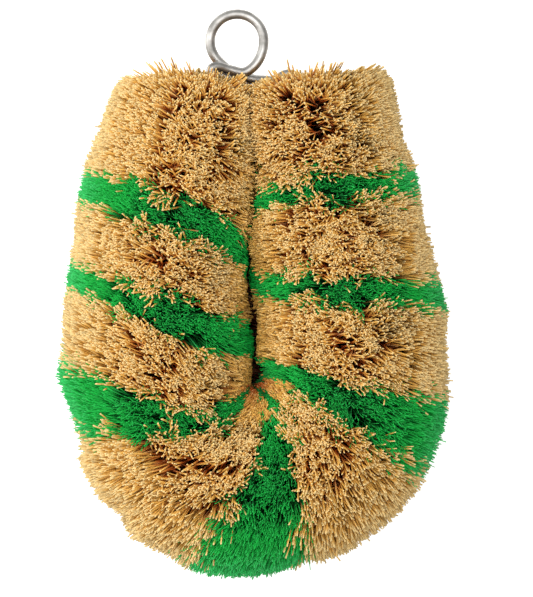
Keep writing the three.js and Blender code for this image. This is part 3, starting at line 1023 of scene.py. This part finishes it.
def wire_material(wire):
    """Galvanised steel: satin zinc with dull patches a few millimetres across and fine marks."""
    material, tree, output = new_material("galvanised_steel_wire")
    place = add_node(tree, "ShaderNodeTexCoord").outputs["Object"]
    patches = add_node(
        tree,
        "ShaderNodeTexNoise",
        inputs={"Vector": place, "Scale": 1 / PATCH_SIZE, "Detail": PATCH_DETAIL},
    )
    marks = add_node(
        tree,
        "ShaderNodeTexNoise",
        inputs={"Vector": place, "Scale": 1 / MARK_SIZE, "Detail": MARK_DETAIL},
    )
    coat = add_ramp(tree, patches.outputs["Fac"], list(zip(PATCH_EDGES, (wire.dull, wire.zinc))))
    rough = add_grey_ramp(tree, patches.outputs["Fac"], PATCH_ROUGHNESS)
    bump = add_node(
        tree,
        "ShaderNodeBump",
        inputs={
            "Strength": MARK_STRENGTH,
            "Distance": MARK_DEPTH,
            "Height": marks.outputs["Fac"],
        },
    )
    shader = add_node(
        tree,
        "ShaderNodeBsdfPrincipled",
        inputs={
            "Base Color": coat,
            "Metallic": 1.0,
            "Roughness": rough,
            "Normal": bump.outputs["Normal"],
        },
    )
    tree.links.new(shader.outputs["BSDF"], output.inputs["Surface"])
    return material


def floor_material():
    """White paper with a faint shadow, lifted to white for the eye and for reflections only."""
    material, tree, output = new_material("white_paper_floor")
    path = add_node(tree, "ShaderNodeLightPath")
    seen = path.outputs["Is Camera Ray"]
    for ray in ("Is Glossy Ray", "Is Transmission Ray"):
        either = {0: seen, 1: path.outputs[ray]}
        seen = add_node(tree, "ShaderNodeMath", {"operation": "MAXIMUM"}, either).outputs["Value"]
    lift = add_node(tree, "ShaderNodeMath", {"operation": "MULTIPLY"}, {0: seen, 1: FLOOR_LIFT})
    shader = add_node(
        tree,
        "ShaderNodeBsdfPrincipled",
        inputs={
            "Base Color": linear(FLOOR_COLOUR),
            "Roughness": FLOOR_ROUGHNESS,
            "Emission Color": linear(LIFT_COLOUR),
            "Emission Strength": lift.outputs["Value"],
        },
    )
    tree.links.new(shader.outputs["BSDF"], output.inputs["Surface"])
    return material


# Operators


def add_piece(piece, node, material):
    """Links a piece to the scene in place of its solid."""
    bpy.context.scene.collection.objects.link(piece)
    piece.data.materials.append(material)
    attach(piece, "root")
    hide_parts(node)


class TAWASHI_OT_bundles(bpy.types.Operator):
    """Fill every bundle of the brush with fibre"""

    bl_idname = "tawashi.bundles"
    bl_label = "Fibre Bundles"

    def execute(self, context):
        fibre = context.scene.tawashi_fibre
        materials = {
            "natural": fibre_material(
                "natural_sisal_fibre",
                fibre.natural_root_shade,
                fibre.natural_neck_shade,
                fibre.natural_body,
                fibre.natural_tip,
            ),
            "green": fibre_material(
                "green_dyed_sisal_fibre",
                fibre.green_root_shade,
                fibre.green_neck_shade,
                fibre.green_body,
                fibre.green_tip,
            ),
        }
        numbers = {"natural": 0, "green": 0}
        widths = {"natural": fibre.natural_width, "green": fibre.green_width}
        for k, (kind, *_) in enumerate(BUNDLES):
            numbers[kind] += 1
            rng = np.random.default_rng(BUNDLE_SEED + k)
            start, end = BUNDLE_ENDS[k : k + 2]
            points, along = bundle_fibres(rng, kind, start, end, fibre)
            name = f"{kind}_fibres_{numbers[kind]}"
            mesh = fibre_mesh(name, points, along, widths[kind], rng)
            piece = bpy.data.objects.new(name, mesh)
            add_piece(piece, f"{kind}_bundle_{numbers[kind]}", materials[kind])
        for end, side, node in ((-1, "left", "natural_bundle_1"), (1, "right", "natural_bundle_8")):
            rng = np.random.default_rng(CAP_SEED + end)
            points, along = cap_fibres(rng, end, fibre)
            name = f"natural_end_fibres_{side}"
            mesh = fibre_mesh(name, points, along, fibre.natural_width, rng)
            piece = bpy.data.objects.new(name, mesh)
            add_piece(piece, node, materials["natural"])
        return {"FINISHED"}


class TAWASHI_OT_wires(bpy.types.Operator):
    """Draw the twisted core wire and the ring wire"""

    bl_idname = "tawashi.wires"
    bl_label = "Wires"

    def execute(self, context):
        material = wire_material(context.scene.tawashi_wire)
        core = wire_object("twisted_core", smooth_route(core_route(), CORE_STEP))
        add_piece(core, "core_wire", material)
        ring = wire_object("ring_wire", smooth_route(ring_route(), RING_STEP))
        add_piece(ring, "hanging_ring", material)
        return {"FINISHED"}


class TAWASHI_OT_stage(bpy.types.Operator):
    """Set up the floor, the light and the camera"""

    bl_idname = "tawashi.stage"
    bl_label = "Stage"

    def execute(self, context):
        stage = context.scene.tawashi_stage
        add_floor()
        add_world()
        middle = Vector([(a + b) / 2 for a, b in zip(*CAD_BOX)])
        add_area_light("key", middle + KEY_PLACE, middle, stage.key_power)
        add_area_light("fill", middle + FILL_PLACE, middle, stage.fill_power)
        add_camera(stage)
        return {"FINISHED"}


def add_floor():
    """A wide pale floor under the brush."""
    mesh = bpy.data.meshes.new("floor")
    corners = ((-1, -1), (1, -1), (1, 1), (-1, 1))
    mesh.from_pydata([(x * FLOOR_HALF, y * FLOOR_HALF, 0) for x, y in corners], [], [(0, 1, 2, 3)])
    floor = bpy.data.objects.new("floor", mesh)
    mesh.materials.append(floor_material())
    bpy.context.scene.collection.objects.link(floor)


def add_world():
    """Pale surroundings that dim towards the horizon, which bands the wires' reflections."""
    world = bpy.data.worlds.new("studio")
    bpy.context.scene.world = world
    world.use_nodes = True
    tree = world.node_tree
    tree.nodes.clear()
    output = tree.nodes.new("ShaderNodeOutputWorld")
    place = add_node(tree, "ShaderNodeTexCoord").outputs["Generated"]
    height = add_node(tree, "ShaderNodeSeparateXYZ", inputs={"Vector": place})
    dome = add_grey_ramp(tree, height.outputs["Z"], DOME_SHADES)
    soft = add_node(tree, "ShaderNodeBackground", inputs={"Color": dome, "Strength": DOME_STRENGTH})
    tree.links.new(soft.outputs["Background"], output.inputs["Surface"])


def add_area_light(name, place, target, energy):
    """A square soft light that faces the target."""
    light = bpy.data.lights.new(name, "AREA")
    light.shape = "SQUARE"
    light.size = LIGHT_SIZE
    light.energy = energy
    lamp = bpy.data.objects.new(name, light)
    lamp.location = place
    lamp.rotation_euler = (target - place).to_track_quat("-Z", "Y").to_euler()
    bpy.context.scene.collection.objects.link(lamp)


def add_camera(stage):
    """A camera straight above, with the brush placed in the picture as in the photograph."""
    camera = bpy.data.cameras.new("camera")
    camera.sensor_fit = "VERTICAL"
    camera.sensor_height = SENSOR_HEIGHT
    camera.lens = camera.sensor_height * stage.distance / stage.frame_height
    viewer = bpy.data.objects.new("camera", camera)
    pixel = stage.frame_height / IMAGE_SIZE[1]
    x = ORIGIN[0] + pixel * (IMAGE_SIZE[0] / 2 - BEND_PIXEL[0])
    y = ORIGIN[1] + pixel * (BEND_PIXEL[1] - IMAGE_SIZE[1] / 2)
    viewer.location = (x, y, WIRE_HEIGHT + stage.distance)
    bpy.context.scene.collection.objects.link(viewer)
    bpy.context.scene.camera = viewer


class TAWASHI_PT_panel(bpy.types.Panel):
    """Sidebar panel of the brush"""

    bl_idname = "TAWASHI_PT_panel"
    bl_label = "Tawashi Brush"
    bl_space_type = "VIEW_3D"
    bl_region_type = "UI"
    bl_category = "Tawashi"

    def draw(self, context):
        scene = context.scene
        for settings in (scene.tawashi_fibre, scene.tawashi_wire, scene.tawashi_stage):
            for key in settings.__annotations__:
                self.layout.prop(settings, key)
        for operator in (TAWASHI_OT_bundles, TAWASHI_OT_wires, TAWASHI_OT_stage):
            self.layout.operator(operator.bl_idname)


CLASSES = (
    TawashiFibre,
    TawashiWire,
    TawashiStage,
    TAWASHI_OT_bundles,
    TAWASHI_OT_wires,
    TAWASHI_OT_stage,
    TAWASHI_PT_panel,
)


def register():
    """Registers the classes and their settings."""
    for cls in CLASSES:
        bpy.utils.register_class(cls)
    bpy.types.Scene.tawashi_fibre = PointerProperty(type=TawashiFibre)
    bpy.types.Scene.tawashi_wire = PointerProperty(type=TawashiWire)
    bpy.types.Scene.tawashi_stage = PointerProperty(type=TawashiStage)


def unregister():
    """Removes the settings and the classes."""
    del bpy.types.Scene.tawashi_stage
    del bpy.types.Scene.tawashi_wire
    del bpy.types.Scene.tawashi_fibre
    for cls in reversed(CLASSES):
        bpy.utils.unregister_class(cls)


def main():
    """Builds the brush and its studio."""
    register()
    bpy.ops.tawashi.bundles()
    bpy.ops.tawashi.wires()
    bpy.ops.tawashi.stage()
    bpy.context.scene.view_settings.view_transform = "Standard"


if __name__ == "__main__":
    main()
